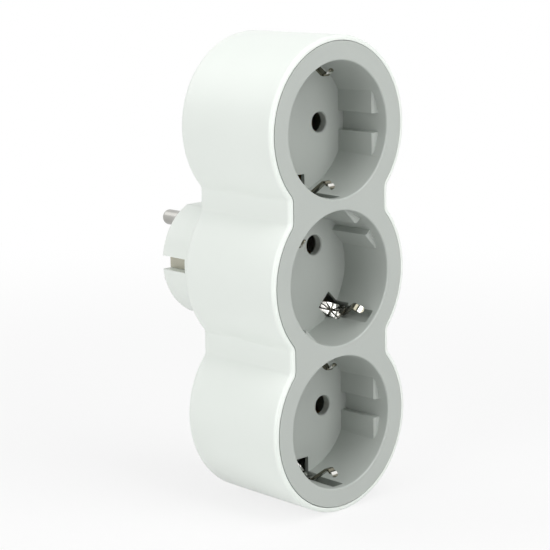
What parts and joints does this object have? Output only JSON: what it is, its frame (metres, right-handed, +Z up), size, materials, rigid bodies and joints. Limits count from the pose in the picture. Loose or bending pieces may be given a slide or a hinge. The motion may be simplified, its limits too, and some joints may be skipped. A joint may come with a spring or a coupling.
{
  "type": "multi socket adapter",
  "caption": "Waisted wall adapter that plugs into an earthed round outlet and has a column of round recessed sockets in its grey front panel, the middle one turned.",
  "frame": {"origin": "centre of the plug's end face, on the axis midway between the plug pins", "axes": "+Y along the pins into the wall, +Z up along the column of sockets, +X to the right as the sockets are faced"},
  "size_m": [0.054, 0.077, 0.14],
  "materials": {
    "housing_white": "satin moulded plastic",
    "panel_grey": "fine matt moulded plastic",
    "nickel": "nickel plated, satin bright",
    "brass": "rolled brass strip",
    "screw_steel": "zinc plated"
  },
  "bodies": {
    "root": {"rear_housing": "housing_white", "front_panel": "panel_grey", "earth_bracket_upper": "nickel", "earth_bracket_middle": "nickel", "earth_bracket_lower": "nickel", "earth_bar": "nickel", "plug_earth_strap": "nickel", "plug_pin_upper": "nickel", "plug_pin_lower": "nickel", "live_busbar": "brass", "neutral_busbar": "brass", "live_contact_upper": "brass", "live_contact_middle": "brass", "live_contact_lower": "brass", "neutral_contact_upper": "brass", "neutral_contact_middle": "brass", "neutral_contact_lower": "brass", "housing_screws": "screw_steel"}
  },
  "joints": []
}
